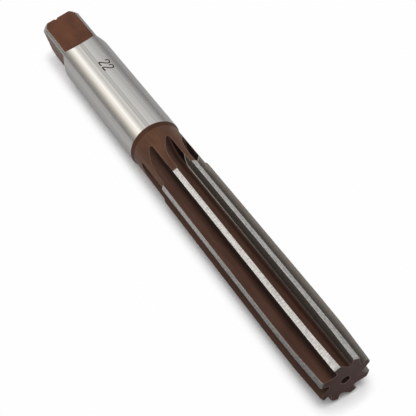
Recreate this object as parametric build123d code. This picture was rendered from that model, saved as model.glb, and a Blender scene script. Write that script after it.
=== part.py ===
"""Hand reamer for a 22 mm hole: eight straight teeth, right-hand cutting, with a driving square.

X runs along the tool, from the centre of the cutting end's face (the origin) to the square.
Z is up, as the reamer lies on two of its teeth and on its shank. Sizes are in millimetres.
Each cut is drawn with its radius along +Y and then turned about X to its own angle.
"""
import os
from math import asin, cos, hypot, radians, sin, sqrt, tan

from build123d import *

# Turned and ground blank, from the cutting end to the square
overall_length = 215.0
cutting_diameter = 22.0      # over the ground lands, which is the size of the hole
cutting_length = 104.5       # cutting end to the foot of the step behind the lands
land_step_length = 1.0       # slope of that step
neck_diameter = 20.7
shank_start = 129.2
shank_step_length = 2.1      # slope from the neck up to the shank
shank_diameter = 22.0

# Lead at the cutting end, so that the reamer starts in a drilled hole
bevel_length = 15.0
bevel_angle = 2.9            # half angles, in degrees
taper_length = 30.0          # measured from the end face, bevel included
taper_angle = 0.7
front_chamfer = 0.3          # 45 degrees, on the tooth tips

# Teeth: the spacing is unequal, and repeats so that opposite edges face each other
tooth_spacing = (46.0, 44.0, 42.0, 48.0)
first_edge_angle = 16.6      # degrees from +Y towards +Z
land_width = 2.0             # arc from the cutting edge to the heel
margin_width = 0.3           # part of the land that keeps the full diameter
relief_angle = 5.0           # slope of the rest of the land

# Flutes, milled with a single-angle cutter whose flat side leaves the rake face
flute_angle = 66.0           # between the rake face and the back of the next tooth
flute_root_radius = 0.9
flute_length = 121.0         # to where the cutter runs out of the neck, at any depth
cutter_radius = 25.0

# Rake faces, ground below the cutting edge
rake_stock = 0.12            # left by the cutter and taken off by the wheel
rake_depth = 3.6             # below the cutting edge
rake_full_length = 104.0
rake_run_out_radius = 5.3

# Driving square, milled on the end of the shank
square_width = 16.7          # across flats
square_length = 22.0
square_angle = 81.0          # direction of the first flat, degrees from +Y towards +Z
shoulder_angle = 37.0        # slope where the flats run out
end_chamfer_length = 3.0
end_chamfer_depth = 1.0
nick_radius = 0.7            # one in the end edge of each of the first two flats
nick_depth = 0.7
nick_reach = 2.0
nick_offset = 1.2            # beside the middle of the flat

# Centre holes in both end faces
centre_angle = 60.0
front_centre = (3.6, 2.0, 5.0)    # mouth diameter, pilot diameter, pilot depth
square_centre = (5.3, 2.5, 5.5)

air = 1.0                    # how far each cut starts outside the metal

cutting_radius = cutting_diameter / 2
neck_radius = neck_diameter / 2
shank_radius = shank_diameter / 2
taper_foot = cutting_radius - (taper_length - bevel_length) * tan(radians(taper_angle))
bevel_foot = taper_foot - bevel_length * tan(radians(bevel_angle))


def turned_blank():
    """The round blank with its lead, lands, neck and shank, turned about X."""
    outline = [
        (0, 0),
        (0, bevel_foot - front_chamfer),
        (front_chamfer, bevel_foot),
        (bevel_length, taper_foot),
        (taper_length, cutting_radius),
        (cutting_length - land_step_length, cutting_radius),
        (cutting_length, neck_radius),
        (shank_start - shank_step_length, neck_radius),
        (shank_start, shank_radius),
        (overall_length - end_chamfer_length, shank_radius),
        (overall_length, shank_radius - end_chamfer_depth),
        (overall_length, 0),
    ]
    return revolve(make_face(Polyline(outline, close=True)), Axis.X)


def flute(spacing):
    """The metal milled away ahead of one tooth, with the cutter's run-out at the neck.

    The back of the flute passes through the heel of the next tooth, so a wider spacing
    gives a deeper flute and the lands stay equally wide. The deeper the flute, the sooner
    the cutter starts to rise, so that all the run-outs end at the same place.
    """
    slope = radians(flute_angle)
    heel = radians(spacing) - land_width / cutting_radius
    heel_x, heel_y = cutting_radius * cos(heel), cutting_radius * sin(heel)
    root = heel_x - (heel_y - rake_stock) / tan(slope)
    top = cutting_radius + air
    section = Plane(x_dir=(0, 1, 0), z_dir=(-1, 0, 0), origin=(0, 0, 0)) * make_face(Polyline(
        (root, rake_stock), (top, rake_stock), (top, rake_stock + (top - root) * tan(slope)),
        close=True))
    section = fillet(section.vertices().sort_by(Axis.Y)[0], flute_root_radius)
    bottom = section.bounding_box().min.Y
    depth = neck_radius - bottom
    straight = flute_length - sqrt(depth * (2 * cutter_radius - depth))
    section = Pos(X=straight) * section
    cutter_axis = Axis((straight, bottom + cutter_radius, 0), (0, 0, 1))
    return extrude(section, straight + air) + revolve(section, cutter_axis, 50)


def rake_grind():
    """The thin layer ground off a rake face, with the wheel's rounded run-out."""
    low, high = cutting_radius - rake_depth, cutting_radius + rake_run_out_radius
    end = rake_full_length + rake_run_out_radius
    face = make_face(Polyline((-air, low), (end, low), (end, high), (-air, high), close=True))
    corner = face.vertices().sort_by_distance((end, low))[0]
    return extrude(Pos(Z=-rake_stock) * fillet(corner, rake_run_out_radius), rake_stock)


def land_relief():
    """The clearance ground on a land behind its margin, which follows the lead to the tip."""
    start_x = sqrt(cutting_radius ** 2 - margin_width ** 2)
    fall = radians(relief_angle) + asin(margin_width / cutting_radius)
    reach = land_width + air
    section = Plane(x_dir=(0, 1, 0), z_dir=(1, 0, 0), origin=(0, 0, 0)) * make_face(Polyline(
        (start_x, margin_width), (start_x - reach * sin(fall), margin_width + reach * cos(fall)),
        (cutting_radius + air, margin_width + reach * cos(fall)),
        (cutting_radius + air, margin_width), close=True))
    lead = [(-air, bevel_foot - air * tan(radians(bevel_angle))), (bevel_length, taper_foot),
            (taper_length, cutting_radius), (cutting_length + air, cutting_radius)]
    stretches = []
    for (near_x, near_radius), (far_x, far_radius) in zip(lead, lead[1:]):
        run, rise = far_x - near_x, far_radius - near_radius
        start = Pos(near_x, near_radius - cutting_radius) * section
        stretches.append(extrude(start, hypot(run, rise), dir=(run, rise, 0)))
    return stretches


def flat_cut():
    """The metal milled off one side of the square, with a sloping shoulder."""
    flat = square_width / 2
    rise = shank_radius + air - flat
    shoulder = overall_length - square_length
    side = make_face(Polyline(
        (shoulder, flat), (shoulder - rise / tan(radians(shoulder_angle)), flat + rise),
        (overall_length + air, flat + rise), (overall_length + air, flat), close=True))
    return extrude(side, shank_radius + air, both=True)


def end_nick():
    """A small nick in a flat's end edge."""
    depth_axis = Plane(origin=(overall_length + nick_radius - nick_depth, 0, 0), z_dir=(0, 1, 0))
    nick = Cylinder(nick_radius, nick_reach, align=(Align.CENTER, Align.CENTER, Align.MAX))
    return Pos(Z=-nick_offset) * depth_axis.offset(square_width / 2) * nick


def centre_hole(mouth, pilot, depth):
    """A centre hole that opens at the origin and goes in along +X."""
    cone_depth = (mouth - pilot) / 2 / tan(radians(centre_angle / 2))
    outline = [(0, 0), (0, mouth / 2), (cone_depth, pilot / 2), (depth, pilot / 2),
               (depth + pilot / 2 * tan(radians(30)), 0)]
    return revolve(make_face(Polyline(outline, close=True)), Axis.X)


def reamer():
    """The whole tool, one piece of steel."""
    tool = turned_blank()
    edge_angle = first_edge_angle
    for spacing in tooth_spacing * 2:
        edge_angle += spacing
        ahead = flute(spacing) + rake_grind()
        tool -= Rot(X=edge_angle) * ahead
        for stretch in land_relief():
            tool -= Rot(X=edge_angle) * stretch
    for quarter in range(4):
        tool -= Rot(X=square_angle - 90 * quarter) * flat_cut()
    for quarter in range(2):
        tool -= Rot(X=square_angle - 90 * quarter) * end_nick()
    tool -= centre_hole(*front_centre)
    tool -= Pos(X=overall_length) * Rot(Z=180) * centre_hole(*square_centre)
    return tool


os.makedirs("parts", exist_ok=True)
export_step(reamer(), "parts/reamer.step")
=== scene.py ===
"""Looks for a 22 mm hand reamer: one piece of tool steel, turned, milled, oxidised brown and ground.

Lengths are in millimetres along the tool from the cutting end, and angles in degrees from +Y
towards +Z. The finished mesh is scaled to metres once, when it is taken over. The floor, the
lamp and the camera are placed in metres. In the finishes, noise scales are in patches per
metre, and reliefs and rounded edges are in metres.
"""
from math import asin, cos, pi, radians, sin, sqrt, tan

import bmesh
import bpy
from mathutils import Matrix, Vector


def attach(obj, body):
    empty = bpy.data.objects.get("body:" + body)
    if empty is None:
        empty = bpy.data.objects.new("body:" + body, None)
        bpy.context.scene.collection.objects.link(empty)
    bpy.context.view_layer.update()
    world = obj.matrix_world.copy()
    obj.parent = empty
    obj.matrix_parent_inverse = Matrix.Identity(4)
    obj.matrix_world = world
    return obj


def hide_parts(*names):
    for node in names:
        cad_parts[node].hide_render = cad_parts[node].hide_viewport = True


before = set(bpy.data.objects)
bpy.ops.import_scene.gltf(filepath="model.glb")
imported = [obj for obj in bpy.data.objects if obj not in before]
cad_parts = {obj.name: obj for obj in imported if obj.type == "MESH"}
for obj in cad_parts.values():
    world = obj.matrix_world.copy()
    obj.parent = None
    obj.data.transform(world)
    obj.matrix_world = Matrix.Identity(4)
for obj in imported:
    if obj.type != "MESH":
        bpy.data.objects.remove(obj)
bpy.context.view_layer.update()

# The oxide skin
# The tool is tempered in steam after milling, which leaves a thin brown oxide on every face.
# Grinding takes it off the lands, the rake faces and the shank, so it is made first.


class Out:
    """An output of a node, written in sums as a number would be."""

    def __init__(self, nodes, socket):
        self.nodes, self.socket = nodes, socket

    def __getitem__(self, name):
        return Out(self.nodes, self.socket.node.outputs[name])

    def math(self, operation, *values):
        return self.nodes.add("ShaderNodeMath", {"operation": operation}, dict(enumerate((self, *values))))

    def __add__(self, other):
        return self.math("ADD", other)

    def __sub__(self, other):
        return self.math("SUBTRACT", other)

    def __rsub__(self, other):
        return self * -1 + other

    def __mul__(self, other):
        return self.math("MULTIPLY", other)

    def __truediv__(self, other):
        return self.math("DIVIDE", other)

    __radd__, __rmul__ = __add__, __mul__


class Nodes:
    """A node tree, and the one way in which nodes are added to it."""

    def __init__(self, tree):
        self.tree = tree
        tree.nodes.clear()

    def add(self, kind, settings, sockets):
        """Adds a node: its settings first, then a value or a link for each socket.

        The setting "items" is how many values an index switch chooses from.
        """
        node = self.tree.nodes.new(kind)
        for name, value in settings.items():
            if name == "items":
                while len(node.index_switch_items) < value:
                    node.index_switch_items.new()
            else:
                setattr(node, name, value)
        for name, value in sockets.items():
            socket = node.inputs[name]
            if isinstance(value, Out):
                self.tree.links.new(value.socket, socket)
            else:
                socket.default_value = (*value, 1) if socket.type == "RGBA" else value
        return Out(self, next(o for o in node.outputs if o.enabled)) if node.outputs else None

    def vector(self, x, y, z):
        return self.add("ShaderNodeCombineXYZ", {}, {"X": x, "Y": y, "Z": z})

    def between(self, share, first, second):
        """A colour between two others, by a share from 0 to 1."""
        return self.add("ShaderNodeMix", {"data_type": "RGBA"}, {0: share, 6: first, 7: second})

    def rise(self, value, low, high):
        """A smooth rise from 0 to 1 as the value goes from low to high."""
        return self.add("ShaderNodeMapRange", {"interpolation_type": "SMOOTHSTEP"}, {
            "Value": value, "From Min": low, "From Max": high})


class Finish(Nodes):
    """A material, patterned on the piece's own coordinates."""

    def __init__(self, name):
        self.material = bpy.data.materials.new(name)
        self.material.use_nodes = True
        super().__init__(self.material.node_tree)
        self.place = self.add("ShaderNodeTexCoord", {}, {})["Object"]
        at = self.add("ShaderNodeVectorMath", {"operation": "SCALE"}, {0: self.place, "Scale": 1000.0})
        at = self.add("ShaderNodeSeparateXYZ", {}, {0: at})
        self.x, self.y, self.z = at["X"], at["Y"], at["Z"]
        self.outward = self.vector(0.0, self.y, self.z)
        self.radius = self.add("ShaderNodeVectorMath", {"operation": "LENGTH"}, {0: self.outward})["Value"]

    def noise(self, *scale, detail=3.0):
        """Noise from 0 to 1 with its own scale along X, Y and Z."""
        vector = self.add("ShaderNodeVectorMath", {"operation": "MULTIPLY"}, {0: self.place, 1: scale})
        return self.add("ShaderNodeTexNoise", {}, {
            "Vector": vector, "Scale": 1.0, "Detail": detail, "Roughness": 0.5})["Fac"]

    def aligned(self, direction):
        """How far the face's normal points along a direction, from -1 to 1."""
        normal = self.add("ShaderNodeNewGeometry", {}, {})["Normal"]
        return self.add("ShaderNodeVectorMath", {"operation": "DOT_PRODUCT"}, {
            0: direction, 1: normal})["Value"]

    def worn(self, colour, edge_colour):
        """The colour with its edges rubbed down to the edge colour, which also paints a highlight where
        lighter.
        """
        rounded = self.add("ShaderNodeBevel", {"samples": 6}, {"Radius": 0.0003})
        return self.between(self.rise(1 - self.aligned(rounded), 0.005, 0.06), colour, edge_colour)

    def surface(self, colour, metallic, roughness, height, depth, specular=0.5, rim=1.0):
        """Ends the tree in the shader, with the height as a relief of that depth.

        Edges are a little rounded, and a rim below 1 darkens metal seen at a low angle.
        """
        rounded = self.add("ShaderNodeBevel", {"samples": 6}, {"Radius": 0.00015})
        bump = self.add("ShaderNodeBump", {}, {
            "Strength": 1.0, "Distance": depth, "Height": height, "Normal": rounded})
        shader = self.add("ShaderNodeBsdfPrincipled", {}, {
            "Base Color": colour, "Metallic": metallic, "Roughness": roughness, "Normal": bump,
            "Specular IOR Level": specular, "Specular Tint": (rim, rim, rim)})
        self.add("ShaderNodeOutputMaterial", {}, {"Surface": shader})


oxide = Finish("brown_oxide")
patches = oxide.noise(90, 220, 220)
grain = oxide.noise(1500, 1500, 1500)
streaks = oxide.noise(60, 1300, 1300)

# Redder on the square than on the neck; painted shade darkens the slope up to the shank and the end face
SHANK_MIDDLE, SLOPE_SHADE_FROM, SLOPE_SHADE_TO = 160.0, (126.9, 127.5), (135.0, 130.0)
tone = oxide.rise(patches * 0.7 + streaks * 0.3, 0.25, 0.75)
brown = oxide.between(oxide.x.math("LESS_THAN", SHANK_MIDDLE),
                      oxide.between(tone, (0.060, 0.020, 0.009), (0.108, 0.040, 0.019)),
                      oxide.between(tone, (0.058, 0.0235, 0.0122), (0.105, 0.0475, 0.0255)))
slope = oxide.rise(oxide.x, *SLOPE_SHADE_FROM) * oxide.rise(oxide.x, *SLOPE_SHADE_TO)
brown = oxide.between(slope * 0.55, brown, (0.026, 0.0095, 0.0058))
brown = oxide.between(oxide.rise(oxide.x, 0.3, 0.1), brown, (0.030, 0.006, 0.002))

# Edges rubbed down to the metal, with a painted highlight along them, but darkened on the square,
# and painted shade in the centre holes, which lie near the axis and below the end faces
SQUARE_START, HOLE_RADIUS, MIDDLE, TO_ENDS = 190.0, 2.7, 107.5, 107.285
on_square = oxide.x.math("GREATER_THAN", SQUARE_START)
brown = oxide.worn(brown, oxide.between(on_square, (0.22, 0.155, 0.125), (0.03, 0.012, 0.007)))
# Painted shade inside the centre holes
painted_hole_shade = oxide.radius.math("LESS_THAN", HOLE_RADIUS)
painted_hole_shade = painted_hole_shade * (oxide.x - MIDDLE).math("ABSOLUTE").math("LESS_THAN", TO_ENDS)
colour = oxide.between(painted_hole_shade, brown, (0.010, 0.004, 0.003))
oxide.surface(colour, 0.0, 0.45 + patches * 0.14, grain * 0.6 + streaks * 0.4, 0.000008, 0.14)

# The blank
# A bar of high-speed steel, turned between centres. Its lands and shank are later ground, which
# leaves cross lines on the lands, and a bright shank with lengthwise marks.

LENGTH, RADIUS, NECK_RADIUS = 215.0, 11.0, 10.35
BEVEL_END, BEVEL_FOOT, TAPER_END, TAPER_FOOT = 15.0, 10.057, 30.0, 10.817
CUTTING_LENGTH, LAND_STEP = 104.5, 1.0
NECK_END, SHANK_START = 127.1, 129.2
TIP_CHAMFER, END_CHAMFER_LENGTH, END_CHAMFER_DEPTH = 0.3, 3.0, 1.0

ground_shank = Finish("ground_shank")
lines = ground_shank.noise(5200, 60, 60)
bands = ground_shank.noise(12, 900, 900, detail=5.0)
clouds = ground_shank.noise(90, 160, 160)
scratches = ground_shank.rise(ground_shank.noise(5, 2400, 2400, detail=1.0), 0.56, 0.72)
share = bands * 0.7 + clouds * 0.2 + lines * 0.2 - scratches * 0.45

# Two fine dark lines between two light ones, all along the shank below the number
turn = ground_shank.z.math("ARCTAN2", ground_shank.y)
for angle, tone in ((87.0, 0.5), (82.4, -0.8), (78.2, -0.7), (73.8, 0.8)):
    beside = (turn - radians(angle)).math("ABSOLUTE")
    share = share + ground_shank.rise(beside, radians(2.0), 0.0) * tone
colour = ground_shank.between(share, (0.32, 0.313, 0.303), (0.45, 0.44, 0.425))
# The edges are lighter: a painted highlight
colour = ground_shank.worn(colour, (0.65, 0.635, 0.61))
ground_shank.surface(colour, 1.0, 0.2 + clouds * 0.04 + lines * 0.04, lines, 0.000003, rim=0.55)

ground_land = Finish("ground_land")
lines = ground_land.noise(2800, 900, 900)
streaks = ground_land.noise(60, 3600, 3600)
share = ground_land.rise(lines * 0.6 + streaks * 0.4, 0.3, 0.7)
colour = ground_land.between(share, (0.255, 0.247, 0.237), (0.565, 0.552, 0.535))
ground_land.surface(colour, 0.85, 0.34 + lines * 0.12, lines, 0.000012, rim=0.0)

collection = bpy.context.scene.collection


def turned(name, around, finishes, rings):
    """A closed solid turned about X, from rings of (place along X, radius, finish behind it)."""
    mesh, made = bpy.data.meshes.new(name), bmesh.new()
    loops = [[made.verts.new((x, r * cos(2 * pi * i / around), r * sin(2 * pi * i / around)))
              for i in range(around)] for x, r, _ in rings]
    for near, far, (_, _, index) in zip(loops, loops[1:], rings):
        for i in range(around):
            face = made.faces.new((near[i - 1], near[i], far[i], far[i - 1]))
            face.material_index = index
    made.faces.new(loops[0])
    made.faces.new(loops[-1])
    bmesh.ops.recalc_face_normals(made, faces=made.faces)
    made.to_mesh(mesh)
    made.free()
    for one in finishes:
        mesh.materials.append(one.material)
    piece = bpy.data.objects.new(name, mesh)
    collection.objects.link(piece)
    return piece


# The slope up to the shank keeps its skin, but for the last 0.2, which is ground with the shank
SKIN, LAND, SHANK = 0, 1, 2
tool = turned("hand_reamer", 144, [oxide, ground_land, ground_shank], [
    (0, BEVEL_FOOT - TIP_CHAMFER, LAND),
    (TIP_CHAMFER, BEVEL_FOOT, LAND),
    (BEVEL_END, TAPER_FOOT, LAND),
    (TAPER_END, RADIUS, LAND),
    (CUTTING_LENGTH - LAND_STEP, RADIUS, SKIN),
    (CUTTING_LENGTH, NECK_RADIUS, SKIN),
    (NECK_END, NECK_RADIUS, SKIN),
    (SHANK_START - 0.2, RADIUS - 0.08, SHANK),
    (SHANK_START, RADIUS, SHANK),
    (LENGTH - END_CHAMFER_LENGTH, RADIUS, SHANK),
    (LENGTH, RADIUS - END_CHAMFER_DEPTH, SKIN)])

# The teeth
# An angular cutter mills eight flutes, sunk deeper where the teeth are wider apart, and runs out
# of all of them at one place. Wheels then grind each rake face and the clearance on each land.

TEETH = 8
SPACING = (46, 44, 42, 48)
FIRST_EDGE = 16.6
LAND_WIDTH, MARGIN, RELIEF_ANGLE = 2.0, 0.3, 5.0
FLUTE_ANGLE, FLUTE_ROOT, FLUTE_END, CUTTER_RADIUS = 66.0, 0.9, 121.0, 25.0
RAKE_STOCK, RAKE_DEPTH, RAKE_END, RAKE_WHEEL = 0.12, 3.6, 104.0, 5.3
RUN_OUT_START = 108.3
AIR = 1.0

milled_flute = Finish("milled_flute")
streaks = milled_flute.noise(90, 1500, 1500)
patches = milled_flute.noise(60, 300, 300)
brown = milled_flute.between(milled_flute.rise(streaks * 0.5 + patches * 0.5, 0.25, 0.75),
                             (0.040, 0.0178, 0.0115), (0.071, 0.0335, 0.0222))

# Painted shade, darker at the bottom, which rises on the cutter's circle in the run-out, and on walls
past = (milled_flute.x - RUN_OUT_START).math("MAXIMUM", 0.0)
lift = CUTTER_RADIUS - (CUTTER_RADIUS ** 2 - past * past).math("SQRT")
clear_of_root_shade = milled_flute.rise(milled_flute.radius - lift, 6.0, 9.0)
brown = milled_flute.between(clear_of_root_shade, (0.009, 0.0036, 0.0026), brown)
outward = milled_flute.add("ShaderNodeVectorMath", {"operation": "NORMALIZE"}, {0: milled_flute.outward})
painted_wall_shade = milled_flute.rise(milled_flute.aligned(outward).math("ABSOLUTE"), 0.45, 0.1)
brown = milled_flute.between(painted_wall_shade, brown, (0.006, 0.0024, 0.0017))
# Edges lighter: rubbed oxide, and a painted highlight
colour = milled_flute.worn(brown, (0.1, 0.066, 0.052))
milled_flute.surface(colour, 0.0, 0.5 + patches * 0.1, streaks, 0.00001, 0.12)

ground_rake = Finish("ground_rake")
lines = ground_rake.noise(1600, 160, 160)
clouds = ground_rake.noise(200, 400, 400)
metal = ground_rake.between(lines * 0.7 + clouds * 0.3, (0.11, 0.097, 0.085), (0.22, 0.199, 0.178))
metal = ground_rake.between(ground_rake.rise(ground_rake.radius, 7.6, 10.0), (0.115, 0.098, 0.082), metal)

# A light border 0.3 wide along the foot of the ground face and round its end, brighter by the neck:
# the edge of the ground area, with a painted highlight of the fillet at the root
onward = (ground_rake.x - RAKE_END).math("MAXIMUM", 0.0)
up = RADIUS - RAKE_DEPTH + RAKE_WHEEL - ground_rake.radius
reach = (onward * onward + up * up).math("SQRT")
border_and_highlight = ground_rake.between(ground_rake.rise(ground_rake.x, 30.0, 120.0),
                             (0.08, 0.07, 0.061), (0.4, 0.37, 0.335))
colour = ground_rake.between(ground_rake.rise(reach, 4.86, 5.03), metal, border_and_highlight)
ground_rake.surface(colour, 0.65, 0.34 + lines * 0.12, lines, 0.000012, rim=0.6)


class Machining(Nodes):
    """Geometry nodes that take solid cutters out of a piece."""

    def __init__(self, name, sizes):
        super().__init__(bpy.data.node_groups.new(name, "GeometryNodeTree"))
        self.values = {}
        sides = [("Work", "Geometry", "INPUT"), ("Work", "Geometry", "OUTPUT")]
        kinds = {int: "Int", float: "Float", bpy.types.Material: "Material"}
        sides += [(size, kinds[type(value)], "INPUT") for size, value in sizes.items()]
        for size, kind, side in sides:
            socket = self.tree.interface.new_socket(
                name=size, in_out=side, socket_type="NodeSocket" + kind)
            if size in sizes:
                self.values[socket.identifier] = sizes[size]
        self.given = self.add("NodeGroupInput", {}, {})
        self.work = self.given["Work"]
        self.index = self.add("GeometryNodeInputIndex", {}, {})

    def polygon(self, *corners):
        """A closed outline of four corners."""
        return self.add("GeometryNodeCurvePrimitiveQuadrilateral", {"mode": "POINTS"}, {
            f"Point {i + 1}": corner for i, corner in enumerate(corners)})

    def rounded(self, outline, corner, radius, count):
        """The outline with one of its corners rounded."""
        here = self.index.math("COMPARE", corner, 0.1)
        return self.add("GeometryNodeFilletCurve", {"mode": "POLY"}, {
            "Curve": outline, "Count": count, "Radius": here * radius})

    def path(self, count, position):
        """A run of points, each placed by its index."""
        points = self.add("GeometryNodeMeshLine", {}, {"Count": count})
        points = self.add("GeometryNodeSetPosition", {}, {"Geometry": points, "Position": position})
        return self.add("GeometryNodeMeshToCurve", {}, {"Mesh": points})

    def line(self, start, end):
        return self.add("GeometryNodeCurvePrimitiveLine", {}, {"Start": start, "End": end})

    def swept(self, path, outline, material):
        """A closed solid with this outline all along the path."""
        solid = self.add("GeometryNodeCurveToMesh", {}, {
            "Curve": path, "Profile Curve": outline, "Fill Caps": True})
        return self.add("GeometryNodeSetMaterial", {}, {"Geometry": solid, "Material": material})

    def cut(self, cutter, count, angle, along=0.0, height=0.0, back=0.0):
        """Takes the cutter out at each angle about X, its own Y outwards, moved that far."""
        out, over = angle.math("COSINE"), angle.math("SINE")
        points = self.add("GeometryNodeSetPosition", {}, {
            "Geometry": self.add("GeometryNodePoints", {}, {"Count": count}),
            "Position": self.vector(along, height * out + back * over, height * over - back * out)})
        turn = self.add("FunctionNodeEulerToRotation", {}, {"Euler": self.vector(angle, 0.0, 0.0)})
        cutters = self.add("GeometryNodeInstanceOnPoints", {}, {
            "Points": points, "Instance": cutter, "Rotation": turn})
        cutters = self.add("GeometryNodeRealizeInstances", {}, {0: cutters})
        self.work = self.add("GeometryNodeMeshBoolean", {"operation": "DIFFERENCE", "solver": "EXACT"}, {
            "Mesh 1": self.work, "Mesh 2": cutters, "Self Intersection": True})

    def put_on(self, piece):
        """Machines the piece, and leaves it a plain mesh."""
        self.add("NodeGroupOutput", {}, {"Work": self.work})
        modifier = piece.modifiers.new(self.tree.name, "NODES")
        modifier.node_group = self.tree
        for identifier, value in self.values.items():
            modifier[identifier] = value
        take_in(piece)


def take_in(piece):
    """Makes what the piece's modifiers give its plain mesh."""
    piece.data = bpy.data.meshes.new_from_object(
        piece.evaluated_get(bpy.context.evaluated_depsgraph_get()))
    piece.modifiers.clear()


milling = Machining("mill_and_grind_teeth", {
    **{f"Spacing {i}": radians(spacing) for i, spacing in enumerate(SPACING)},
    "First edge": radians(FIRST_EDGE), "Radius": RADIUS, "Neck radius": NECK_RADIUS,
    "Land angle": LAND_WIDTH / RADIUS,
    "Flute slope": tan(radians(FLUTE_ANGLE)), "Flute root": FLUTE_ROOT, "Flute end": FLUTE_END,
    "Cutter radius": CUTTER_RADIUS, "Rake stock": RAKE_STOCK, "Rake depth": RAKE_DEPTH,
    "Rake end": RAKE_END, "Rake wheel": RAKE_WHEEL, "Teeth": TEETH,
    "Flute finish": milled_flute.material, "Rake finish": ground_rake.material,
    "Land finish": ground_land.material})
given = milling.given

# The angle of each tooth's edge, and how far in the flute ahead of it reaches
spacing = milling.add("GeometryNodeIndexSwitch", {"data_type": "FLOAT", "items": len(SPACING)}, {
    "Index": milling.index.math("MODULO", len(SPACING)),
    **{str(i): given[f"Spacing {i}"] for i in range(len(SPACING))}})
edge = milling.add("GeometryNodeAccumulateField", {}, {"Value": spacing})["Leading"] + given["First edge"]
heel = spacing - given["Land angle"]
fall = (given["Radius"] * heel.math("SINE") - given["Rake stock"]) / given["Flute slope"]
depth = given["Radius"] * heel.math("COSINE") - fall

# The flute, straight along the tooth from before the cutting end, which is point 0, and then out
# along the cutter's circle in steps of 1.5 degrees
CIRCLE_STEP, PATH_POINTS, CUTTER_HEIGHT, ROOT_FACETS = 1.5, 28, 6.3, 12
sunk = given["Flute root"] * (1 / tan(radians(FLUTE_ANGLE / 2)) - 1)
circle = given["Cutter radius"] + sunk
started = milling.index.math("GREATER_THAN", 0.5)
swing = (milling.index - 1) * started * radians(CIRCLE_STEP)
along = circle * swing.math("SINE") - (1 - started) * (given["Flute end"] + AIR)
path = milling.path(PATH_POINTS, milling.vector(along, circle * (1 - swing.math("COSINE")), 0.0))
outline = milling.polygon(
    (0, 0, 0), milling.vector(-CUTTER_HEIGHT, given["Flute slope"] * CUTTER_HEIGHT, 0.0),
    (-CUTTER_HEIGHT, 0, 0), (-CUTTER_HEIGHT / 2, 0, 0))
outline = milling.rounded(outline, 0, given["Flute root"], ROOT_FACETS)
below = given["Neck radius"] - depth - sunk
run_out = (below * (given["Cutter radius"] * 2 - below)).math("SQRT")
milling.cut(milling.swept(path, outline, given["Flute finish"]), given["Teeth"], edge,
            given["Flute end"] - run_out, depth, given["Rake stock"])

# The rake face, a thin plate below each edge with the round end of the wheel
PLATE_AIR, WHEEL_FACETS = 0.3, 16
path = milling.line(milling.vector(0.0, 0.0, given["Rake stock"] * -1 - PLATE_AIR), (0, 0, 0))
low, high, end = given["Rake depth"] * -1, given["Rake wheel"], given["Rake end"] + given["Rake wheel"]
outline = milling.polygon(milling.vector(-AIR, low, 0.0), milling.vector(end, low, 0.0),
                          milling.vector(end, high, 0.0), milling.vector(-AIR, high, 0.0))
outline = milling.rounded(outline, 1, given["Rake wheel"], WHEEL_FACETS)
milling.cut(milling.swept(path, outline, given["Rake finish"]), given["Teeth"], edge, 0.0, given["Radius"])

# The land, flat clearance behind a narrow margin. It follows the lead, and goes on into the air
# at both ends. AIR_FALL is how far the bevel falls in the air before the cutting end.
AIR_FALL = 0.051
rings = [(-AIR, BEVEL_FOOT - AIR_FALL), (BEVEL_END, TAPER_FOOT), (TAPER_END, RADIUS),
         (CUTTING_LENGTH + AIR, RADIUS)]
place = milling.add("GeometryNodeIndexSwitch", {"data_type": "VECTOR", "items": len(rings)}, {
    "Index": milling.index, **{str(i): (x, r - RADIUS, 0) for i, (x, r) in enumerate(rings)}})
start = RADIUS - sqrt(RADIUS ** 2 - MARGIN ** 2)
slope = radians(RELIEF_ANGLE) + asin(MARGIN / RADIUS)
far, down = -MARGIN - (LAND_WIDTH + AIR) * cos(slope), start + (LAND_WIDTH + AIR) * sin(slope)
outline = milling.polygon((start, -MARGIN, 0), (-AIR, -MARGIN, 0), (-AIR, far, 0), (down, far, 0))
milling.cut(milling.swept(milling.path(len(rings), place), outline, given["Land finish"]),
            given["Teeth"], edge, 0.0, given["Radius"])
milling.put_on(tool)

# The driving square
# Four flats are milled on the end of the shank for a tap wrench, each with a sloping shoulder,
# and two of them have a small round nick in their end edge, a little beside the middle.

FLATS, FLAT, SHOULDER, SLOPE, SQUARE_ANGLE = 4, 8.35, 193.0, 37.0, 81.0
NICKS, NICK_RADIUS, NICK_DEPTH, NICK_REACH, NICK_OFFSET, NICK_FACETS = 2, 0.7, 0.7, 2.0, 1.2, 32

square = Machining("mill_square", {
    "Flat": FLAT, "Shoulder": SHOULDER, "Slope": tan(radians(SLOPE)),
    "First angle": radians(SQUARE_ANGLE), "Length": LENGTH, "Nick radius": NICK_RADIUS,
    "Finish": oxide.material})
given = square.given
angle = given["First angle"] - square.index * (pi / 2)
rise = RADIUS + AIR - given["Flat"]
outline = square.polygon(
    square.vector(given["Shoulder"], given["Flat"], 0.0),
    square.vector(given["Length"] + AIR, given["Flat"], 0.0),
    square.vector(given["Length"] + AIR, RADIUS + AIR, 0.0),
    square.vector(given["Shoulder"] - rise / given["Slope"], RADIUS + AIR, 0.0))
square.cut(square.swept(square.line((0, 0, -RADIUS - AIR), (0, 0, RADIUS + AIR)), outline,
                        given["Finish"]), FLATS, angle)
nick_place = given["Length"] + given["Nick radius"] - NICK_DEPTH
path = square.line(square.vector(nick_place, given["Flat"] - NICK_REACH, -NICK_OFFSET),
                   square.vector(nick_place, given["Flat"] + AIR, -NICK_OFFSET))
outline = square.add("GeometryNodeCurvePrimitiveCircle", {}, {
    "Resolution": NICK_FACETS, "Radius": given["Nick radius"]})
square.cut(square.swept(path, outline, given["Finish"]), NICKS, angle)
square.put_on(tool)

# The centre holes and the size
# Both ends have a 60 degree centre with a pilot hole, for turning and grinding. The size, 22 mm,
# is stamped across the shank before tempering, and keeps its oxide when the shank is ground.

# Name, end face, direction inwards, radius of the mouth and of the pilot hole, and its depth
CENTRES = (("front_centre", 0, 1, 1.8, 1.0, 5.0), ("square_centre", LENGTH, -1, 2.65, 1.25, 5.5))
CENTRE_SLOPE = tan(radians(30))
TIP = 0.05      # how much of the pilot's radius is left flat at the tip of its cone


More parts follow.
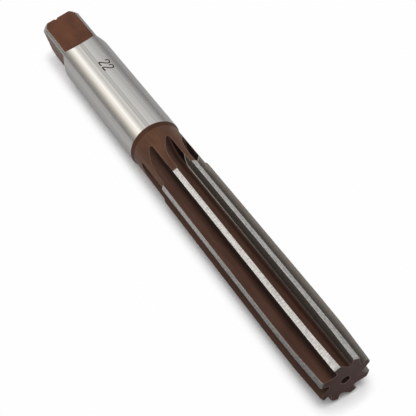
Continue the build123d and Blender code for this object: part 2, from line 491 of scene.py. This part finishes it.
def take_out(piece, cutter):
    """Cuts one solid out of the piece, which takes on its finish there."""
    modifier = piece.modifiers.new(cutter.name, "BOOLEAN")
    modifier.object, modifier.solver, modifier.operation = cutter, "EXACT", "DIFFERENCE"
    modifier.material_mode, modifier.use_self = "TRANSFER", True
    take_in(piece)
    bpy.data.objects.remove(cutter)


for name, end, inward, mouth, pilot, deep in CENTRES:
    rings = [(-AIR, mouth + AIR * CENTRE_SLOPE), ((mouth - pilot) / CENTRE_SLOPE, pilot),
             (deep, pilot), (deep + pilot * CENTRE_SLOPE * (1 - TIP), pilot * TIP)]
    take_out(tool, turned(name, 48, [oxide], [(end + inward * x, r, SKIN) for x, r in rings]))

# One digit in shares of its width and height: its curve, and the straight foot
DIGIT = [(0.10, 0.70), (0.03, 0.81), (0.07, 0.92), (0.26, 0.99), (0.58, 1.00), (0.82, 0.93),
         (0.96, 0.79), (0.91, 0.63), (0.70, 0.45), (0.32, 0.25), (0.02, 0.03)]
FOOT = [(0.02, 0.03), (0.40, 0.01), (0.88, 0.00), (0.98, 0.12)]
NUMBER_START, NUMBER_ANGLE, NUMBER_RADIUS = 174.2, 84.3, RADIUS + 0.05
DIGIT_WIDTH, DIGIT_HEIGHT, DIGIT_PITCH, STROKE = 2.55, 4.5, 3.66, 0.37

stamped = Finish("stamped_number")
colour = stamped.between(stamped.noise(900, 900, 900), (0.03, 0.022, 0.017), (0.06, 0.046, 0.036))
stamped.surface(colour, 0.0, 0.6, stamped.noise(3000, 3000, 3000), 0.00001, 0.2)

number = bpy.data.curves.new("size_number", "CURVE")
number.dimensions = "3D"
number.bevel_depth, number.bevel_resolution, number.use_fill_caps = STROKE, 3, True
for digit in range(2):
    for points, kind in ((DIGIT, "AUTO"), (FOOT, "VECTOR")):
        stroke = number.splines.new("BEZIER")
        stroke.resolution_u = 4
        stroke.bezier_points.add(len(points) - 1)
        for point, (u, v) in zip(stroke.bezier_points, points):
            turn = radians(NUMBER_ANGLE) + v * DIGIT_HEIGHT / RADIUS
            point.co = (NUMBER_START - digit * DIGIT_PITCH - u * DIGIT_WIDTH,
                        NUMBER_RADIUS * cos(turn), NUMBER_RADIUS * sin(turn))
            point.handle_left_type = point.handle_right_type = kind
line = bpy.data.objects.new("size_number", number)
collection.objects.link(line)
strokes = bpy.data.objects.new("size_strokes", bpy.data.meshes.new_from_object(
    line.evaluated_get(bpy.context.evaluated_depsgraph_get())))
strokes.data.materials.clear()
strokes.data.materials.append(stamped.material)
collection.objects.link(strokes)
bpy.data.objects.remove(line)
take_out(tool, strokes)

# Taking over the finished tool
# The piece stands for the whole reamer, which is one solid of steel, and is scaled to metres.
# Edges below 12 degrees are shaded smooth: the facets of round faces, the lead and the margins.

tool.data.transform(Matrix.Scale(0.001, 4))
for face in tool.data.polygons:
    face.use_smooth = True
tool.data.set_sharp_from_angle(angle=radians(12))
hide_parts("reamer")
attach(tool, "root")

# The floor, the light and the camera
# A white table under wide soft light. The camera sees the table and its shadow near the tool, and
# plain white elsewhere. Reflections see soft panels, and a dark card on the table.

FLOOR_HALF, FLOOR_Z = 3.0, -RADIUS / 1000

pale = Finish("pale_floor")
table = pale.add("ShaderNodeBsdfDiffuse", {}, {
    "Color": pale.between(pale.noise(2, 2, 2), (0.97, 0.97, 0.97), (0.985, 0.985, 0.985))})
white = pale.add("ShaderNodeEmission", {}, {"Color": (0.99, 0.99, 0.99)})
dark = pale.add("ShaderNodeBsdfDiffuse", {}, {"Color": (0.02, 0.02, 0.02)})
rays = pale.add("ShaderNodeLightPath", {}, {})

# The card covers the table on the +Y side of the tool, and fades out towards the shank
card = pale.rise(pale.x, 170.0, -20.0) * pale.rise(pale.y, 0.0, 12.0) * 0.95
shader = pale.add("ShaderNodeMixShader", {}, {0: rays["Is Glossy Ray"] * card, 1: table, 2: dark})

# The shadow fades into white with the distance from the tool's axis, sooner past both ends, and
# a little sooner beside the teeth
beyond = pale.x - pale.x.math("MAXIMUM", 0.0).math("MINIMUM", LENGTH)
teeth = pale.rise(pale.x, 120.0, 50.0)
away = (beyond * beyond * 5 + pale.y * pale.y * (teeth * 0.1 + 1)).math("SQRT")
shader = pale.add("ShaderNodeMixShader", {}, {
    0: rays["Is Camera Ray"] * pale.rise(away, 8.8, 14.8), 1: shader, 2: white})
pale.add("ShaderNodeOutputMaterial", {}, {"Surface": shader})

floor_mesh = bpy.data.meshes.new("floor")
floor_mesh.from_pydata([(x * FLOOR_HALF, y * FLOOR_HALF, FLOOR_Z)
                        for x, y in ((-1, -1), (1, -1), (1, 1), (-1, 1))], [], [(0, 1, 2, 3)])
floor_mesh.materials.append(pale.material)
floor = bpy.data.objects.new("floor", floor_mesh)
collection.objects.link(floor)

# The panels round the tool, each (angle, light, warmth). They are at full strength in directions
# that lean 16 to 56 degrees towards the square, and weaker in others.
PANELS = [(-90, 0.3, 0.0), (0, 0.2, 0.0), (12, 0.6, 0.08), (21, 0.95, 0.14), (30, 1.65, 0.15),
          (40, 2.4, 0.1), (50, 2.9, 0.05), (58, 2.0, 0.04), (66, 1.42, 0.04), (76, 1.38, 0.04),
          (90, 1.32, 0.02), (98, 1.25, 0.0), (107, 1.42, 0.02), (115, 1.33, 0.02), (130, 1.27, 0.0),
          (150, 1.0, 0.0), (166, 0.6, 0.0), (180, 0.5, 0.0), (270, 0.3, 0.0)]
STRENGTH, END_STRENGTH = 3.0, 1.8

studio = bpy.data.worlds.new("studio")
bpy.context.scene.world = studio
studio.use_nodes = True
sky = Nodes(studio.node_tree)
way = sky.add("ShaderNodeSeparateXYZ", {}, {0: sky.add("ShaderNodeTexCoord", {}, {})["Generated"]})
around = (way["Z"].math("ARCTAN2", way["Y"]) / (2 * pi) + 0.25).math("FLOORED_MODULO", 1.0)
panels = sky.add("ShaderNodeValToRGB", {}, {"Fac": around})
stops = panels.socket.node.color_ramp.elements
while len(stops) < len(PANELS):
    stops.new(0.5)
for stop, (angle, light, warmth) in zip(stops, PANELS):
    stop.position = (angle + 90) / 360
    light = light / STRENGTH
    stop.color = (light, light * (1 - warmth * 0.35), light * (1 - warmth), 1)

# Reflections see the panels, the camera sees white, and everything else a plain grey light
seen_by = sky.add("ShaderNodeLightPath", {}, {})
room = sky.between(seen_by["Is Camera Ray"], (0.17, 0.17, 0.17), (0.33, 0.33, 0.33))
colour = sky.between(seen_by["Is Glossy Ray"], room, panels["Color"])
ends = sky.rise((way["X"] - 0.55).math("ABSOLUTE"), 0.28, 0.4)
strength = STRENGTH - ends * seen_by["Is Glossy Ray"] * (STRENGTH - END_STRENGTH)
background = sky.add("ShaderNodeBackground", {}, {"Color": colour, "Strength": strength})
sky.add("ShaderNodeOutputWorld", {}, {"Surface": background})

# A wide lamp overhead, which gives the shadow its soft edge and isn't seen in the metal
lamp = bpy.data.lights.new("overhead", "AREA")
lamp.energy, lamp.size = 9.0, 0.8
overhead = bpy.data.objects.new("overhead", lamp)
collection.objects.link(overhead)
overhead.location = (-0.05, 0.1, 1.1)
overhead.visible_glossy = False

# The camera looks down from beyond the cutting end, with its place and turn fitted to the photo
view = bpy.data.cameras.new("camera")
camera = bpy.data.objects.new("camera", view)
collection.objects.link(camera)
view.sensor_width, view.lens = 36.0, 89.2331
view.clip_start, view.clip_end = 0.01, 20.0
right = Vector((-0.50362216, -0.86022078, -0.07990574))
up = Vector((0.62355147, -0.42595632, 0.65554922))
place = Matrix.Translation((-0.141125, 0.107199, 0.288017))
camera.matrix_world = place @ Matrix((right, up, right.cross(up))).transposed().to_4x4()
bpy.context.scene.camera = camera
bpy.context.scene.view_settings.view_transform = "Standard"
